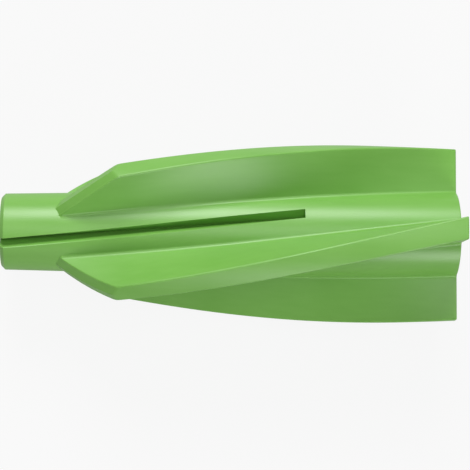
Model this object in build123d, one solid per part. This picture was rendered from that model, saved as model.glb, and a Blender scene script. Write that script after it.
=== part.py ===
from build123d import *
import math
import os

# Nylon anchor for aerated concrete, moulded in one piece.
# It is built about its screw axis, along X from the tip at -X to the rear face at +X.
# It is then laid down as it comes to rest on its fins: +Z is up, and Z = 0 is the surface.
# Lengths are in millimetres. Angles are in degrees, turned about +X from +Y towards +Z.

# Length of the anchor, from tip face to rear face
length = 75.0

# Core: a slim cone at the tip, then a stouter shank up to the rear face
tip_radius = 6.25
shank_radius = 7.0
rear_radius = 7.15
tip_cone_length = 37.0
tip_chamfer = 0.6

# Fins: four helical blades with a barrel-shaped outline
fin_count = 4
fin_twist = 66.45
fin_front_thickness = 3.05
fin_rear_thickness = 3.7
fin_root_fillet = 0.6
fin_edge_break = 0.25
barrel_front_radius = 14.1
barrel_crest_radius = 14.85
barrel_rear_radius = 14.3
barrel_crest_from_tip = 50.5

# Leading end of each fin: a ramp from the core to the full radius, with a pointed nose
ramp_start_from_tip = 9.0
ramp_length = 9.3
ramp_bulge = 0.3
nose_setback = 0.85

# Expansion grooves: V-shaped, each between two fins, open at the tip
groove_count = 2
groove_width = 1.6
groove_depth = 2.35
groove_lean = -0.28
groove_length = 49.5
groove_twist = 71.1
groove_from_fin = 44.5

# Screw hole: a straight mouth at the rear, then a cone down to the tip
bore_mouth_radius = 4.25
bore_mouth_length = 20.0
bore_tip_radius = 1.8
bore_chamfer = 0.5

# Lying at rest: direction of the first fin at mid-length, and how far the rear end rises
rest_roll = 36.5
rest_tilt = 3.42

# How far cutting tools reach past what they cut, and how deep the fins are bedded in the core:
# by how much at their foot, and how far their heel lies from the axis, as a share of that radius
cut_margin = 1.0
root_overlap = 0.04
heel_share = 0.5

# How many sections shape each helix, and how finely the lowest point is looked for
fin_section_count = 48
nose_section_count = 7
groove_section_count = 9
contact_precision = 0.01

tip_x = -length / 2
rear_x = length / 2
cone_end_x = tip_x + tip_cone_length
ramp_start_x = tip_x + ramp_start_from_tip
ramp_end_x = ramp_start_x + ramp_length
blade_start_x = ramp_start_x - cut_margin
crest_x = tip_x + barrel_crest_from_tip
groove_end_x = tip_x + groove_length


def between(start, end, share):
    """The value that lies at the given share of the way from start to end."""
    return start + (end - start) * share


def steps(start, end, count):
    """Evenly spaced places from start to end, both included."""
    return [between(start, end, i / (count - 1)) for i in range(count)]


def core_radius(x):
    if x < cone_end_x:
        return between(tip_radius, shank_radius, (x - tip_x) / tip_cone_length)
    return between(shank_radius, rear_radius, (x - cone_end_x) / (rear_x - cone_end_x))


def barrel_radius(x):
    """Outer radius of the fins: one flat curve through its front, crest and rear values."""
    front = barrel_front_radius * (x - crest_x) * (x - rear_x)
    crest = barrel_crest_radius * (x - ramp_end_x) * (x - rear_x)
    rear = barrel_rear_radius * (x - ramp_end_x) * (x - crest_x)
    front /= (ramp_end_x - crest_x) * (ramp_end_x - rear_x)
    crest /= (crest_x - ramp_end_x) * (crest_x - rear_x)
    rear /= (rear_x - ramp_end_x) * (rear_x - crest_x)
    return front + crest + rear


def fin_angle(x):
    """Direction of the first fin's middle plane."""
    return rest_roll - fin_twist * x / length


def groove_angle(x):
    """Direction of the first groove's mouth."""
    return rest_roll + groove_from_fin - groove_twist * x / length


def outward_plane(x, angle):
    """Plane across the axis, whose own X points away from the axis at the given angle."""
    turn = math.radians(angle)
    return Plane(origin=(x, 0, 0), x_dir=(0, math.cos(turn), math.sin(turn)), z_dir=(1, 0, 0))


def fin_section(x):
    """A fin cut across: flanks, broken outer edges and flared root, closed inside the core."""
    half = between(fin_front_thickness, fin_rear_thickness, (x - tip_x) / length) / 2
    top = math.sqrt(barrel_radius(x) ** 2 - half**2)
    core = core_radius(x) - root_overlap
    flare_v = half + fin_root_fillet
    flare_u = math.sqrt((core + fin_root_fillet) ** 2 - flare_v**2)
    foot_share = core / (core + fin_root_fillet)
    foot_u = flare_u * foot_share
    foot_v = flare_v * foot_share
    mid_turn = math.atan2(flare_v, flare_u) / 2
    mid_u = flare_u - fin_root_fillet * math.sin(mid_turn)
    mid_v = flare_v - fin_root_fillet * math.cos(mid_turn)
    heel_u = core * heel_share
    heel_v = foot_v * heel_share
    edge = fin_edge_break
    outline = [
        Line((heel_u, heel_v), (foot_u, foot_v)),
        ThreePointArc((foot_u, foot_v), (mid_u, mid_v), (flare_u, half)),
        Line((flare_u, half), (top - edge, half)),
        Line((top - edge, half), (top, half - edge)),
        ThreePointArc((top, half - edge), (barrel_radius(x), 0), (top, edge - half)),
        Line((top, edge - half), (top - edge, -half)),
        Line((top - edge, -half), (flare_u, -half)),
        ThreePointArc((flare_u, -half), (mid_u, -mid_v), (foot_u, -foot_v)),
        Line((foot_u, -foot_v), (heel_u, -heel_v)),
        Line((heel_u, -heel_v), (heel_u, heel_v)),
    ]
    return outward_plane(x, fin_angle(x)) * make_face(Wire(outline))


def ramp_radius(x):
    """Height of the ramp's ridge above the axis, bulged most at the middle of the ramp."""
    share = (x - ramp_start_x) / ramp_length
    straight = between(core_radius(ramp_start_x), barrel_front_radius, share)
    return straight + 4 * ramp_bulge * share * (1 - share)


def ramp_slope(x):
    """How fast the ridge rises along the axis."""
    share = (x - ramp_start_x) / ramp_length
    straight_rise = barrel_front_radius - core_radius(ramp_start_x)
    return (straight_rise + 4 * ramp_bulge * (1 - 2 * share)) / ramp_length


def nose_section(x):
    """What the ramp takes off a fin at x: everything above a ridge that falls to both flanks."""
    reach = fin_rear_thickness
    ridge = ramp_radius(x)
    eave = ridge - ramp_slope(x) * nose_setback * reach / (fin_front_thickness / 2)
    top = ridge + barrel_crest_radius
    outline = [(ridge, 0), (eave, reach), (top, reach), (top, -reach), (eave, -reach)]
    return outward_plane(x, fin_angle(x)) * make_face(Polyline(*outline, close=True))


def groove_section(x):
    """Half V of a groove, from its bottom to a mouth just outside the core."""
    core = core_radius(x)
    bottom_u = core - groove_depth
    widen = (groove_depth + cut_margin) / groove_depth
    outline = [
        (bottom_u, groove_lean),
        (core + cut_margin, between(groove_lean, groove_width / 2, widen)),
        (core + cut_margin, between(groove_lean, -groove_width / 2, widen)),
    ]
    return outward_plane(x, groove_angle(x)) * make_face(Polyline(*outline, close=True))


def make_core():
    outline = [
        (tip_x, 0),
        (tip_x, core_radius(tip_x + tip_chamfer) - tip_chamfer),
        (tip_x + tip_chamfer, core_radius(tip_x + tip_chamfer)),
        (cone_end_x, shank_radius),
        (rear_x, rear_radius),
        (rear_x, 0),
    ]
    return revolve(Plane.XY * make_face(Polyline(*outline, close=True)), Axis.X)


def make_fin():
    stations = steps(blade_start_x, rear_x, fin_section_count)
    blade = loft([fin_section(x) for x in stations], ruled=True)
    cut_start_x = blade_start_x - cut_margin
    cut_end_x = ramp_end_x + nose_setback + cut_margin
    nose = loft([nose_section(x) for x in steps(cut_start_x, cut_end_x, nose_section_count)])
    return blade - nose


def make_bore():
    mouth_end_x = rear_x - bore_mouth_length
    slope = (bore_mouth_radius - bore_tip_radius) / (mouth_end_x - tip_x)
    outline = [
        (tip_x - cut_margin, 0),
        (tip_x - cut_margin, bore_tip_radius - slope * cut_margin),
        (mouth_end_x, bore_mouth_radius),
        (rear_x - bore_chamfer, bore_mouth_radius),
        (rear_x + cut_margin, bore_mouth_radius + bore_chamfer + cut_margin),
        (rear_x + cut_margin, 0),
    ]
    return revolve(Plane.XY * make_face(Polyline(*outline, close=True)), Axis.X)


def make_groove():
    stations = steps(tip_x - cut_margin, groove_end_x, groove_section_count)
    return loft([groove_section(x) for x in stations])


def around_axis(shape, count):
    """Copies of a shape, evenly spaced about the screw axis."""
    return [shape.rotate(Axis.X, 360 * i / count) for i in range(count)]


def make_anchor():
    body = make_core() + around_axis(make_fin(), fin_count)
    return body - around_axis(make_groove(), groove_count) - make_bore()


def laid_down(shape):
    """The shape at its resting slope, centred over the origin, with its lowest point at Z = 0."""
    tilted = shape.rotate(Axis.Y, -rest_tilt)
    middle = tilted.bounding_box().center()
    lowest = min(point.Z for point in tilted.tessellate(contact_precision)[0])
    return Pos(-middle.X, -middle.Y, -lowest) * tilted


anchor = laid_down(make_anchor())
os.makedirs("parts", exist_ok=True)
export_step(anchor, "parts/anchor_body.step")
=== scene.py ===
import math

import bpy
from mathutils import Matrix, Vector


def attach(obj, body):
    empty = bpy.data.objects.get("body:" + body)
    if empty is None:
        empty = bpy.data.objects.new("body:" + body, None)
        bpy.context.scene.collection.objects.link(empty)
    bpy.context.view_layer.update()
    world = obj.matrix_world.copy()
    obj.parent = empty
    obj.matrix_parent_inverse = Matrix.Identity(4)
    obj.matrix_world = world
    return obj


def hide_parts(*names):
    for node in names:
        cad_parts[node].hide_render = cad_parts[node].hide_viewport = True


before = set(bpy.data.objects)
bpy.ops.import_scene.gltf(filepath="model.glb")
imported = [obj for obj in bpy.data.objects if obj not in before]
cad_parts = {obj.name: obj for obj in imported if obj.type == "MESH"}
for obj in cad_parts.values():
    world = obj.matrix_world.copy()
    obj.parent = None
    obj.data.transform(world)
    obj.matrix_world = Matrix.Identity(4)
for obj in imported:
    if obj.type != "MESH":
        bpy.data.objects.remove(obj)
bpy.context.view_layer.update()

scene = bpy.context.scene
scene.view_settings.view_transform = "Standard"

MM = 0.001


# Camera

CAMERA_PLACE = (-31.48 * MM, -43.37 * MM, 314.32 * MM)
CAMERA_RIGHT = (0.994339, 0.001320, 0.106242)
CAMERA_UP = (-0.016271, 0.990020, 0.139988)
CAMERA_BACK = (-0.104997, -0.140924, 0.984437)
LENS_MM = 141.46
SENSOR_MM = 36.0


def add_camera():
    """The camera looks down on the anchor, square to its length, as the photograph does."""
    lens = bpy.data.cameras.new("camera")
    lens.lens = LENS_MM
    lens.sensor_width = SENSOR_MM
    lens.clip_start = 10 * MM
    lens.clip_end = 10.0
    camera = bpy.data.objects.new("camera", lens)
    turn = Matrix((CAMERA_RIGHT, CAMERA_UP, CAMERA_BACK)).transposed()
    camera.matrix_world = Matrix.Translation(CAMERA_PLACE) @ turn.to_4x4()
    scene.collection.objects.link(camera)
    scene.camera = camera


# Formulas written as nodes

class Size:
    """A number in a node tree, so that the anchor's rule reads as plain arithmetic."""

    tree = None

    def __init__(self, socket):
        self.socket = socket

    def __add__(self, other):
        return sum_up("ADD", self, other)

    def __sub__(self, other):
        return sum_up("SUBTRACT", self, other)

    def __rsub__(self, other):
        return sum_up("SUBTRACT", other, self)

    def __mul__(self, other):
        return sum_up("MULTIPLY", self, other)

    def __rmul__(self, other):
        return sum_up("MULTIPLY", other, self)

    def __truediv__(self, other):
        return sum_up("DIVIDE", self, other)

    def __neg__(self):
        return sum_up("MULTIPLY", self, -1.0)


def connect(value, socket):
    if isinstance(value, Size):
        Size.tree.links.new(value.socket, socket)
    else:
        socket.default_value = value


def sum_up(operation, *values):
    node = Size.tree.nodes.new("ShaderNodeMath")
    node.operation = operation
    for value, socket in zip(values, node.inputs):
        connect(value, socket)
    return Size(node.outputs[0])


def root(value):
    return sum_up("SQRT", value)


def size_of(value):
    return sum_up("ABSOLUTE", value)


def lesser(first, second, blend=0.0):
    return sum_up("SMOOTH_MIN", first, second, blend)


def greater(first, second):
    return sum_up("MAXIMUM", first, second)


def sine(angle):
    return sum_up("SINE", angle)


def cosine(angle):
    return sum_up("COSINE", angle)


def heading(across, outward):
    return sum_up("ARCTAN2", across, outward)


def passed(value, mark):
    """1 where the value is beyond the mark, else 0."""
    return sum_up("GREATER_THAN", value, mark)


def between(start, end, share):
    return start + (end - start) * share


def either(switch, when_one, when_zero):
    return between(when_zero, when_one, switch)


def share_of(value, start, end, smooth=False):
    """How far the value has gone from start to end, held to 0 and 1."""
    node = Size.tree.nodes.new("ShaderNodeMapRange")
    node.interpolation_type = "SMOOTHSTEP" if smooth else "LINEAR"
    for given, name in ((value, "Value"), (start, "From Min"), (end, "From Max")):
        connect(given, node.inputs[name])
    return Size(node.outputs["Result"])


# Sizes of the anchor. The barrel's radii are 0.04 mm under the solid's, which keeps the rounded
# form inside its box.

SIZES = {
    "Length": 75.0 * MM,
    "Tip Radius": 6.25 * MM,
    "Shank Radius": 7.0 * MM,
    "Rear Radius": 7.15 * MM,
    "Tip Cone Length": 37.0 * MM,
    "Tip Bevel": 0.6 * MM,
    "Rim Round": 0.16 * MM,
    "Fin Twist": math.radians(66.45),
    "Fin Front Thickness": 3.05 * MM,
    "Fin Rear Thickness": 3.7 * MM,
    "Fin Root Fillet": 0.6 * MM,
    "Fin Edge Round": 0.3 * MM,
    "Rear Edge Round": 0.18 * MM,
    "Barrel Front Radius": 14.06 * MM,
    "Barrel Crest Radius": 14.81 * MM,
    "Barrel Rear Radius": 14.26 * MM,
    "Barrel Crest From Tip": 50.5 * MM,
    "Ramp Start": 9.0 * MM,
    "Ramp Length": 9.3 * MM,
    "Ramp Bulge": 0.3 * MM,
    "Ramp Crest Round": 0.5 * MM,
    "Nose Setback": 0.85 * MM,
    "Groove Width": 1.6 * MM,
    "Groove Depth": 2.35 * MM,
    "Groove Lean": -0.28 * MM,
    "Groove Length": 49.5 * MM,
    "Groove Twist": math.radians(71.1),
    "Groove From Fin": math.radians(44.5),
    "Groove Lip Round": 0.16 * MM,
    "Bore Mouth Radius": 4.25 * MM,
    "Bore Mouth Length": 20.0 * MM,
    "Bore Tip Radius": 1.8 * MM,
    "Bore Chamfer": 0.5 * MM,
    "Rest Roll": math.radians(36.5),
    "Rest Tilt": math.radians(3.42),
    "Shift Along": -0.2575 * MM,
    "Lift": 13.2188 * MM,
}

# Steps across half of a fin: top, rounded edge, flank and root
TOP_STEPS = 4
EDGE_STEPS = 5
FLANK_STEPS = 7
ROOT_STEPS = 6
HALF_FIN_STEPS = TOP_STEPS + EDGE_STEPS + FLANK_STEPS + ROOT_STEPS
FIN_STEPS = 2 * HALF_FIN_STEPS

# Steps across the core between two fins: plain, groove, plain
PLAIN_STEPS = 9
GROOVE_STEPS = 24
GAP_STEPS = 2 * PLAIN_STEPS + GROOVE_STEPS
QUARTER_STEPS = FIN_STEPS + GAP_STEPS
HALF_TURN_STEPS = 2 * QUARTER_STEPS

# Steps along the anchor: each arc of the tip's rim, the rear edge, and the bore's two lengths
RIM_STEPS = 4
REAR_ROUND_STEPS = 5
BORE_STRAIGHT_STEPS = 10
BORE_CONE_STEPS = 23

# How far the end faces' last ring lies inside their rim, and the length over which the groove ends
FACE_MARGIN = 0.1 * MM
WALL_STEP = 0.04 * MM

# How far the groove's rows reach past its mouth, and how round its bottom is, in half widths
GROOVE_OVERREACH = 1.4
GROOVE_BOTTOM_ROUND = 0.04

# How far the ramp's rule is followed past both ends of the ramp, as shares of its length
RAMP_FOLLOWED = (-0.1, 1.5)

# Where the rows' bend over the nose sets in before the ramp, and fades out beyond its crest
BEND_SETS_IN = (4 * MM, 0.5 * MM)
BEND_FADES = (1 * MM, 9 * MM)

# Smallest rounding of an edge, reach of the weld between the halves, angle that keeps an edge sharp
LEAST_EDGE = 0.02 * MM
WELD_DISTANCE = 0.002 * MM
SHARP_ANGLE = math.radians(32)


def core_radius(size, along):
    """The tip cone, then the shank, at a distance from the tip."""
    cone = between(size["Tip Radius"], size["Shank Radius"], along / size["Tip Cone Length"])
    shank_share = (along - size["Tip Cone Length"]) / (size["Length"] - size["Tip Cone Length"])
    shank = between(size["Shank Radius"], size["Rear Radius"], shank_share)
    return either(passed(along, size["Tip Cone Length"]), shank, cone)


def barrel_radius(size, along):
    """One flat curve through the front, crest and rear radii of the fins."""
    front_at = size["Ramp Start"] + size["Ramp Length"]
    crest_at = size["Barrel Crest From Tip"]
    rear_at = size["Length"]
    from_front, from_crest, from_rear = along - front_at, along - crest_at, along - rear_at
    front = from_crest * from_rear / ((front_at - crest_at) * (front_at - rear_at))
    crest = from_front * from_rear / ((crest_at - front_at) * (crest_at - rear_at))
    rear = from_front * from_crest / ((rear_at - front_at) * (rear_at - crest_at))
    return (
        size["Barrel Front Radius"] * front
        + size["Barrel Crest Radius"] * crest
        + size["Barrel Rear Radius"] * rear
    )


def ramp_height(size, along, aside):
    """The pointed nose: a bulged ridge that falls to both sides."""
    share = (along - size["Ramp Start"]) / size["Ramp Length"]
    share = lesser(greater(share, RAMP_FOLLOWED[0]), RAMP_FOLLOWED[1])
    foot = core_radius(size, size["Ramp Start"])
    rise = size["Barrel Front Radius"] - foot
    ridge = foot + rise * share + 4 * size["Ramp Bulge"] * share * (1 - share)
    slope = (rise + 4 * size["Ramp Bulge"] * (1 - 2 * share)) / size["Ramp Length"]
    return ridge - slope * size["Nose Setback"] * aside / (size["Fin Front Thickness"] / 2)


def fin_outline(size, along, inset, step):
    """A point of a fin's cross-section, outward and across from the fin's middle plane."""
    side = sum_up("SIGN", step)
    step = size_of(step)
    thickness = between(
        size["Fin Front Thickness"], size["Fin Rear Thickness"], along / size["Length"]
    )
    half = thickness / 2 - inset
    edge = greater(size["Fin Edge Round"] - inset, LEAST_EDGE)
    fillet = size["Fin Root Fillet"] + inset
    barrel = barrel_radius(size, along) - inset
    core = core_radius(size, along) - inset

    def crown(aside):
        arc = root(barrel * barrel - aside * aside)
        return lesser(arc, ramp_height(size, along, aside), size["Ramp Crest Round"])

    flat = half - edge
    top_share = share_of(step, 0.0, TOP_STEPS)
    edge_turn = share_of(step, TOP_STEPS, TOP_STEPS + EDGE_STEPS) * (math.pi / 2)
    aside = flat * top_share + edge * sine(edge_turn)
    brow = crown(flat * top_share) - edge * (1 - cosine(edge_turn))
    flank_top = crown(flat) - edge

    centre_v = half + fillet
    centre_u = root((core + fillet) * (core + fillet) - centre_v * centre_v)
    flank_foot = lesser(centre_u, flank_top)
    flank_share = share_of(step, TOP_STEPS + EDGE_STEPS, HALF_FIN_STEPS - ROOT_STEPS)
    flank = between(flank_top, flank_foot, flank_share)

    full_turn = math.pi / 2 - heading(centre_v, centre_u)
    root_turn = share_of(step, HALF_FIN_STEPS - ROOT_STEPS, HALF_FIN_STEPS) * full_turn
    root_v = centre_v - fillet * cosine(root_turn)
    nose_fall = size["Nose Setback"] / (size["Fin Front Thickness"] / 2)
    root_u = lesser(centre_u - fillet * sine(root_turn), flank_top - nose_fall * (root_v - half))

    on_root = passed(step, HALF_FIN_STEPS - ROOT_STEPS - 0.5)
    on_flank = passed(step, TOP_STEPS + EDGE_STEPS - 0.5)
    outward = either(on_root, root_u, either(on_flank, flank, brow))
    across = either(on_root, root_v, aside) * side
    foot_turn = heading(centre_v, centre_u)
    return outward, across, foot_turn


def gap_outline(size, along, inset, step, foot_turn, grooved):
    """Radius and direction of a point on the core between two fins, with its groove."""
    core = core_radius(size, along)
    groove_share = share_of(step, PLAIN_STEPS, PLAIN_STEPS + GROOVE_STEPS)
    place = (groove_share * 2 - 1) * GROOVE_OVERREACH
    side = sum_up("SIGN", place)
    rise = root(place * place + GROOVE_BOTTOM_ROUND**2)
    outward = core - size["Groove Depth"] * (1 - rise) * grooved
    wall = side * size["Groove Width"] / 2 - size["Groove Lean"]
    across = size["Groove Lean"] + wall * size_of(place)
    middle = size["Groove From Fin"] - (size["Groove Twist"] - size["Fin Twist"]) * (
        along / size["Length"] - 0.5
    )
    groove_turn = middle + heading(across, outward)
    reach = size["Groove Width"] / 2 * GROOVE_OVERREACH
    lean = size["Groove Lean"] * (1 - GROOVE_OVERREACH)
    brink = core + size["Groove Depth"] * (GROOVE_OVERREACH - 1) * grooved
    low_turn = middle + heading(lean - reach, brink)
    high_turn = middle + heading(lean + reach, brink)
    before = between(foot_turn, low_turn, share_of(step, 0.0, PLAIN_STEPS))
    end_turn = math.pi / 2 - foot_turn
    after = between(high_turn, end_turn, share_of(step, PLAIN_STEPS + GROOVE_STEPS, GAP_STEPS))
    in_groove = passed(step, PLAIN_STEPS - 0.5) * (
        1 - passed(step, PLAIN_STEPS + GROOVE_STEPS + 0.5)
    )
    plain_turn = either(passed(step, GAP_STEPS / 2), after, before)
    turn = either(in_groove, groove_turn, plain_turn)
    skin = core - inset
    wall_radius = root(outward * outward + across * across)
    cut = skin - lesser(skin, wall_radius, size["Groove Lip Round"])
    return skin - cut * grooved * in_groove, turn


def make_anchor_tree(material):
    """The whole anchor by its rule: a half turn of two fins and one groove, set twice."""
    tree = bpy.data.node_groups.new("anchor_rule", "GeometryNodeTree")
    Size.tree = tree
    tree.interface.new_socket("Geometry", in_out="OUTPUT", socket_type="NodeSocketGeometry")
    inputs = {}
    for name, value in SIZES.items():
        socket = tree.interface.new_socket(name, in_out="INPUT", socket_type="NodeSocketFloat")
        socket.default_value = value
        inputs[name] = socket.identifier
    entry = tree.nodes.new("NodeGroupInput")
    size = {name: Size(entry.outputs[name]) for name in SIZES}

    front_at = size["Ramp Start"] + size["Ramp Length"] + size["Nose Setback"]
    foot_at = size["Ramp Start"] + size["Nose Setback"]
    bevel_corner = size["Tip Bevel"] + size["Rim Round"] * math.tan(math.pi / 8)
    rear_start = size["Length"] - size["Rear Edge Round"]

    # Where each stretch of rows ends, and how many rows it has: closest at the nose and groove end
    stretches = [
        (foot_at - 0.6 * MM, 12),
        (foot_at + 0.5 * MM, 14),
        (front_at - 0.7 * MM, 26),
        (front_at + 0.7 * MM, 20),
        (size["Groove Length"] - 0.3 * MM, 48),
        (size["Groove Length"], 2),
        (size["Groove Length"] + WALL_STEP, 1),
        (size["Groove Length"] + 0.4 * MM, 2),
        (rear_start, 36),
    ]
    rim_start = 2
    first = rim_start + 2 * RIM_STEPS + 1
    last = first + sum(count for _, count in stretches)
    face_row = last + REAR_ROUND_STEPS + 1
    mouth_row = face_row + 2
    straight_row = mouth_row + BORE_STRAIGHT_STEPS
    last_row = straight_row + BORE_CONE_STEPS

    index = Size(tree.nodes.new("GeometryNodeInputIndex").outputs[0])
    row = sum_up("FLOOR", (index + 0.5) / (HALF_TURN_STEPS + 1))
    column = index - row * (HALF_TURN_STEPS + 1)

    # Along the skin, from the bevelled tip rim to the rounded rear edge
    along = bevel_corner
    start = bevel_corner
    passed_rows = first
    for end, count in stretches:
        along = along + (end - start) * share_of(row, passed_rows, passed_rows + count)
        start = end
        passed_rows += count

    rim_row = row - rim_start
    second_arc = passed(rim_row, RIM_STEPS + 0.5)
    rim_turn = math.pi / 2 - (rim_row - second_arc) * (math.pi / 4 / RIM_STEPS)
    round_radius = size["Rim Round"]
    rim_along = either(second_arc, bevel_corner, round_radius) - round_radius * sine(rim_turn)
    rim_inset = either(second_arc, round_radius, bevel_corner) - round_radius * cosine(rim_turn)
    on_rim = 1 - passed(row, first - 0.5)
    on_tip_face = 1 - passed(row, 1.5)
    tip_inset = bevel_corner + FACE_MARGIN
    along = either(on_rim, either(on_tip_face, 0.0, rim_along), along)

    rear_turn = share_of(row, last, last + REAR_ROUND_STEPS) * (math.pi / 2)
    rear_round = size["Rear Edge Round"]
    along = along + rear_round * sine(rear_turn)
    rear_inset = rear_round * (1 - cosine(rear_turn)) + FACE_MARGIN * passed(row, face_row - 0.5)
    front_inset = on_rim * either(on_tip_face, tip_inset, rim_inset)

    # Back through the screw hole, from its mouth to the tip
    in_bore = passed(row, face_row + 0.5)
    straight_end = size["Length"] - size["Bore Mouth Length"]
    chamfer_share = share_of(row, face_row + 1, mouth_row)
    straight_share = share_of(row, mouth_row, straight_row)
    cone_share = share_of(row, straight_row, last_row)
    bore_along = (
        size["Length"]
        - size["Bore Chamfer"] * chamfer_share
        - (size["Bore Mouth Length"] - size["Bore Chamfer"]) * straight_share
        - straight_end * cone_share
    )
    bore_radius = (
        size["Bore Mouth Radius"]
        + size["Bore Chamfer"] * (1 - chamfer_share)
        - (size["Bore Mouth Radius"] - size["Bore Tip Radius"]) * cone_share
    )
    at_start = 1 - passed(row, 0.5)
    bore_radius = either(at_start, size["Bore Tip Radius"], bore_radius)
    in_bore = greater(in_bore, at_start)
    along = either(in_bore, either(at_start, 0.0, bore_along), along)

    # Which fin or gap this column belongs to
    quarter = sum_up("FLOOR", (column + 0.5) / QUARTER_STEPS)
    local = column - quarter * QUARTER_STEPS
    in_gap = passed(local, FIN_STEPS - 0.5)
    fin_step = local - HALF_FIN_STEPS
    gap_step = local - FIN_STEPS

    # Rows bend forward over the nose, so that they run along its edges
    before_ramp = [size["Ramp Start"] - distance for distance in BEND_SETS_IN]
    beyond_crest = [front_at + distance for distance in BEND_FADES]
    set_in = share_of(along, *before_ramp, smooth=True)
    faded = share_of(along, *beyond_crest, smooth=True)
    nose_zone = set_in * (1 - faded)
    fin_middle = 1 - share_of(size_of(fin_step), 0.0, TOP_STEPS + EDGE_STEPS)
    bend = size["Nose Setback"] * fin_middle * nose_zone * (1 - in_gap) * (1 - in_bore)
    along = along - bend

    rear_inset = rear_inset * (1 - in_bore)
    outward, across, foot_turn = fin_outline(size, along, rear_inset, fin_step)
    skin = core_radius(size, along) - rear_inset
    outward = greater(outward, root(skin * skin - across * across))
    fin_radius = root(outward * outward + across * across) - front_inset
    fin_turn = heading(across, outward)
    grooved = (1 - passed(quarter, 0.5)) * (
        1 - passed(along, size["Groove Length"] + WALL_STEP / 2)
    )
    core_inset = front_inset + rear_inset
    gap_radius, gap_turn = gap_outline(size, along, core_inset, gap_step, foot_turn, grooved)

    radius = either(in_bore, bore_radius, either(in_gap, gap_radius, fin_radius))
    turn = (
        either(in_gap, gap_turn, fin_turn)
        + quarter * (math.pi / 2)
        + size["Rest Roll"]
        - size["Fin Twist"] * (along / size["Length"] - 0.5)
    )
    place = tree.nodes.new("ShaderNodeCombineXYZ")
    connect(along - size["Length"] / 2, place.inputs[0])
    connect(radius * cosine(turn), place.inputs[1])
    connect(radius * sine(turn), place.inputs[2])

    grid = tree.nodes.new("GeometryNodeMeshGrid")
    grid.inputs["Vertices X"].default_value = last_row + 1
    grid.inputs["Vertices Y"].default_value = HALF_TURN_STEPS + 1
    half = tree.nodes.new("GeometryNodeSetPosition")
    tree.links.new(grid.outputs["Mesh"], half.inputs["Geometry"])
    tree.links.new(place.outputs[0], half.inputs["Position"])

    pair = tree.nodes.new("GeometryNodeMeshLine")
    pair.inputs["Count"].default_value = 2
    pair.inputs["Offset"].default_value = (0.0, 0.0, 0.0)
    half_turn = tree.nodes.new("ShaderNodeCombineXYZ")
    copy_number = Size(tree.nodes.new("GeometryNodeInputIndex").outputs[0])
    connect(copy_number * math.pi, half_turn.inputs[0])
    copies = tree.nodes.new("GeometryNodeInstanceOnPoints")
    tree.links.new(pair.outputs["Mesh"], copies.inputs["Points"])
    tree.links.new(half.outputs["Geometry"], copies.inputs["Instance"])
    tree.links.new(half_turn.outputs[0], copies.inputs["Rotation"])
    whole = tree.nodes.new("GeometryNodeRealizeInstances")
    tree.links.new(copies.outputs["Instances"], whole.inputs[0])
    weld = tree.nodes.new("GeometryNodeMergeByDistance")
    weld.inputs["Distance"].default_value = WELD_DISTANCE
    tree.links.new(whole.outputs[0], weld.inputs["Geometry"])
    outside = tree.nodes.new("GeometryNodeFlipFaces")
    tree.links.new(weld.outputs[0], outside.inputs["Mesh"])

    # Laid down on its fins
    lay = tree.nodes.new("GeometryNodeTransform")
    tree.links.new(outside.outputs[0], lay.inputs["Geometry"])
    slope = tree.nodes.new("ShaderNodeCombineXYZ")
    connect(-size["Rest Tilt"], slope.inputs[1])
    tree.links.new(slope.outputs[0], lay.inputs["Rotation"])
    shift = tree.nodes.new("ShaderNodeCombineXYZ")
    connect(size["Shift Along"], shift.inputs[0])
    connect(size["Lift"], shift.inputs[2])
    tree.links.new(shift.outputs[0], lay.inputs["Translation"])

    crease = tree.nodes.new("GeometryNodeInputMeshEdgeAngle")
    soft = tree.nodes.new("FunctionNodeCompare")
    soft.operation = "LESS_THAN"
    soft.inputs[1].default_value = SHARP_ANGLE
    tree.links.new(crease.outputs["Unsigned Angle"], soft.inputs[0])
    smooth = tree.nodes.new("GeometryNodeSetShadeSmooth")
    smooth.domain = "EDGE"
    tree.links.new(lay.outputs["Geometry"], smooth.inputs["Geometry"])
    tree.links.new(soft.outputs[0], smooth.inputs["Shade Smooth"])

    finish = tree.nodes.new("GeometryNodeSetMaterial")
    finish.inputs["Material"].default_value = material
    tree.links.new(smooth.outputs["Geometry"], finish.inputs["Geometry"])
    out = tree.nodes.new("NodeGroupOutput")
    tree.links.new(finish.outputs["Geometry"], out.inputs["Geometry"])
    return tree, inputs


def make_anchor(material):
    """The rule's result as a plain mesh, in the CAD's place."""
    tree, inputs = make_anchor_tree(material)
    maker = bpy.data.objects.new("anchor_maker", bpy.data.meshes.new("anchor_maker"))
    scene.collection.objects.link(maker)
    rule = maker.modifiers.new("anchor_rule", "NODES")
    rule.node_group = tree
    for name, identifier in inputs.items():
        rule[identifier] = SIZES[name]
    evaluated = maker.evaluated_get(bpy.context.evaluated_depsgraph_get())
    mesh = bpy.data.meshes.new_from_object(evaluated)
    bpy.data.objects.remove(maker)
    mesh.name = "moulded_anchor"
    anchor = bpy.data.objects.new("moulded_anchor", mesh)
    scene.collection.objects.link(anchor)
    return anchor


# Nylon: its colours, and its roughness where smoothest and dullest
DEEP_GREEN = (0.175, 0.435, 0.07, 1)
PALE_GREEN = (0.205, 0.475, 0.09, 1)
SMOOTH, DULL = 0.33, 0.41

# How much of the colour's unevenness the flow streaks bring, the rest coming from the clouds
STREAK_SHARE = 0.4


def pattern(tree, patch, drawn_out=1.0, detail=2.0):
    """Uneven patches of the given size, drawn out along the anchor."""
    aim = tree.nodes.new("ShaderNodeMapping")
    aim.inputs["Scale"].default_value = (1 / (patch * drawn_out), 1 / patch, 1 / patch)
    noise = tree.nodes.new("ShaderNodeTexNoise")
    noise.inputs["Scale"].default_value = 1.0
    noise.inputs["Detail"].default_value = detail
    place = tree.nodes.new("ShaderNodeTexCoord")
    tree.links.new(place.outputs["Object"], aim.inputs["Vector"])
    tree.links.new(aim.outputs["Vector"], noise.inputs["Vector"])
    return noise.outputs["Fac"]


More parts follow.
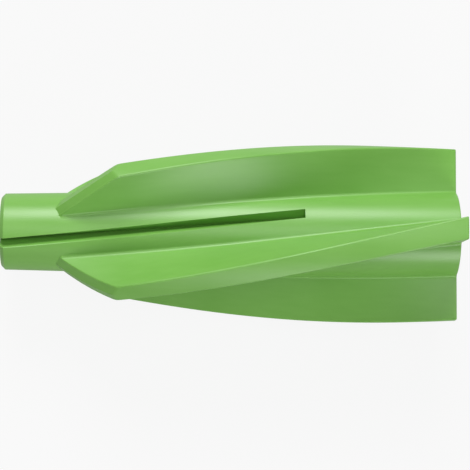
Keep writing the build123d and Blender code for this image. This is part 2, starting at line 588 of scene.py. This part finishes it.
def spread(tree, value, low, high):
    """The pattern's middle range, spread from the low to the high value."""
    node = tree.nodes.new("ShaderNodeMapRange")
    settings = {"From Min": 0.3, "From Max": 0.7, "To Min": low, "To Max": high}
    for name, setting in settings.items():
        node.inputs[name].default_value = setting
    tree.links.new(value, node.inputs["Value"])
    return node.outputs["Result"]


def relief(tree, height, depth, under=None):
    """A surface roughened by a pattern, on top of the relief that lies under it."""
    bump = tree.nodes.new("ShaderNodeBump")
    bump.inputs["Strength"].default_value = 1.0
    bump.inputs["Distance"].default_value = depth
    tree.links.new(height, bump.inputs["Height"])
    if under:
        tree.links.new(under, bump.inputs["Normal"])
    return bump.outputs["Normal"]


def make_nylon():
    """Moulded nylon: cloudy green, with flow streaks along it, an uneven sheen and fine grain."""
    material = bpy.data.materials.new("moulded_nylon")
    material.use_nodes = True
    tree = material.node_tree
    shader = tree.nodes["Principled BSDF"]
    clouds = pattern(tree, 14 * MM)
    streaks = pattern(tree, 1.1 * MM, drawn_out=9.0, detail=3.0)
    grain = pattern(tree, 0.16 * MM)

    both = tree.nodes.new("ShaderNodeMix")
    both.inputs["Factor"].default_value = STREAK_SHARE
    tree.links.new(clouds, both.inputs["A"])
    tree.links.new(streaks, both.inputs["B"])
    green = tree.nodes.new("ShaderNodeMix")
    green.data_type = "RGBA"
    green.inputs["A"].default_value = DEEP_GREEN
    green.inputs["B"].default_value = PALE_GREEN
    tree.links.new(spread(tree, both.outputs["Result"], 0.0, 1.0), green.inputs["Factor"])
    tree.links.new(green.outputs["Result"], shader.inputs["Base Color"])
    tree.links.new(spread(tree, both.outputs["Result"], SMOOTH, DULL), shader.inputs["Roughness"])
    flow_marks = relief(tree, streaks, 0.006 * MM)
    tree.links.new(relief(tree, grain, 0.003 * MM, flow_marks), shader.inputs["Normal"])
    return material


anchor = make_anchor(make_nylon())
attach(anchor, "root")
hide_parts("anchor_body")


# Studio

WHITE = (1, 1, 1, 1)
FLOOR_REACH = 3.0
FLOOR_GREY = (0.45, 0.45, 0.45, 1)

# How far the floor is lifted to white for the camera, and in reflections
FLOOR_WHITE = 0.9
FLOOR_WHITE_MIRRORED = 0.3

LAMP_DISTANCE = 0.6
LAMP_WIDTH = 0.3

# Soft round lamps: name, height and turn in degrees as seen from the anchor, and power in watts
LAMPS = (
    ("key", 42, 96, 3.0),
    ("near_side", 25, 286, 1.6),
    ("overhead", 90, 0, 0.8),
)
SKY_LEVEL = 0.18


def link_nodes(tree, *pairs):
    for start, end in pairs:
        tree.links.new(start, end)


def math_node(tree, operation):
    node = tree.nodes.new("ShaderNodeMath")
    node.operation = operation
    return node


def make_floor_material():
    """Plain pale floor, lifted to white for the camera and partly in reflections, shadow kept."""
    material = bpy.data.materials.new("pale_floor")
    material.use_nodes = True
    tree = material.node_tree
    matt = tree.nodes["Principled BSDF"]
    matt.inputs["Base Color"].default_value = FLOOR_GREY
    matt.inputs["Roughness"].default_value = 0.9
    matt.inputs["Specular IOR Level"].default_value = 0.1
    white = tree.nodes.new("ShaderNodeEmission")
    white.inputs["Color"].default_value = WHITE
    path = tree.nodes.new("ShaderNodeLightPath")
    mirrored = math_node(tree, "MAXIMUM")
    sheen = math_node(tree, "MULTIPLY")
    sheen.inputs[1].default_value = FLOOR_WHITE_MIRRORED
    share = math_node(tree, "MULTIPLY_ADD")
    share.inputs[1].default_value = FLOOR_WHITE
    mix = tree.nodes.new("ShaderNodeMixShader")
    link_nodes(
        tree,
        (path.outputs["Is Glossy Ray"], mirrored.inputs[0]),
        (path.outputs["Is Transmission Ray"], mirrored.inputs[1]),
        (mirrored.outputs[0], sheen.inputs[0]),
        (path.outputs["Is Camera Ray"], share.inputs[0]),
        (sheen.outputs[0], share.inputs[2]),
        (share.outputs[0], mix.inputs[0]),
        (matt.outputs[0], mix.inputs[1]),
        (white.outputs[0], mix.inputs[2]),
        (mix.outputs[0], tree.nodes["Material Output"].inputs["Surface"]),
    )
    return material


def add_floor():
    mesh = bpy.data.meshes.new("floor")
    low, high = -FLOOR_REACH, FLOOR_REACH
    corners = [(low, low, 0), (high, low, 0), (high, high, 0), (low, high, 0)]
    mesh.from_pydata(corners, [], [(0, 1, 2, 3)])
    mesh.materials.append(make_floor_material())
    floor = bpy.data.objects.new("floor", mesh)
    scene.collection.objects.link(floor)


def add_lamps():
    for name, height, turn, power in LAMPS:
        light = bpy.data.lights.new(name, "AREA")
        light.shape = "DISK"
        light.size = LAMP_WIDTH
        light.energy = power
        lamp = bpy.data.objects.new(name, light)
        height, turn = math.radians(height), math.radians(turn)
        level = math.cos(height)
        outward = Vector((level * math.cos(turn), level * math.sin(turn), math.sin(height)))
        lamp.location = outward * LAMP_DISTANCE
        lamp.rotation_euler = outward.to_track_quat("Z", "Y").to_euler()
        scene.collection.objects.link(lamp)


def add_sky():
    """Even white surroundings that light softly."""
    world = bpy.data.worlds.new("studio")
    scene.world = world
    world.use_nodes = True
    sky = world.node_tree.nodes["Background"]
    sky.inputs["Color"].default_value = WHITE
    sky.inputs["Strength"].default_value = SKY_LEVEL


add_floor()
add_lamps()
add_sky()
add_camera()
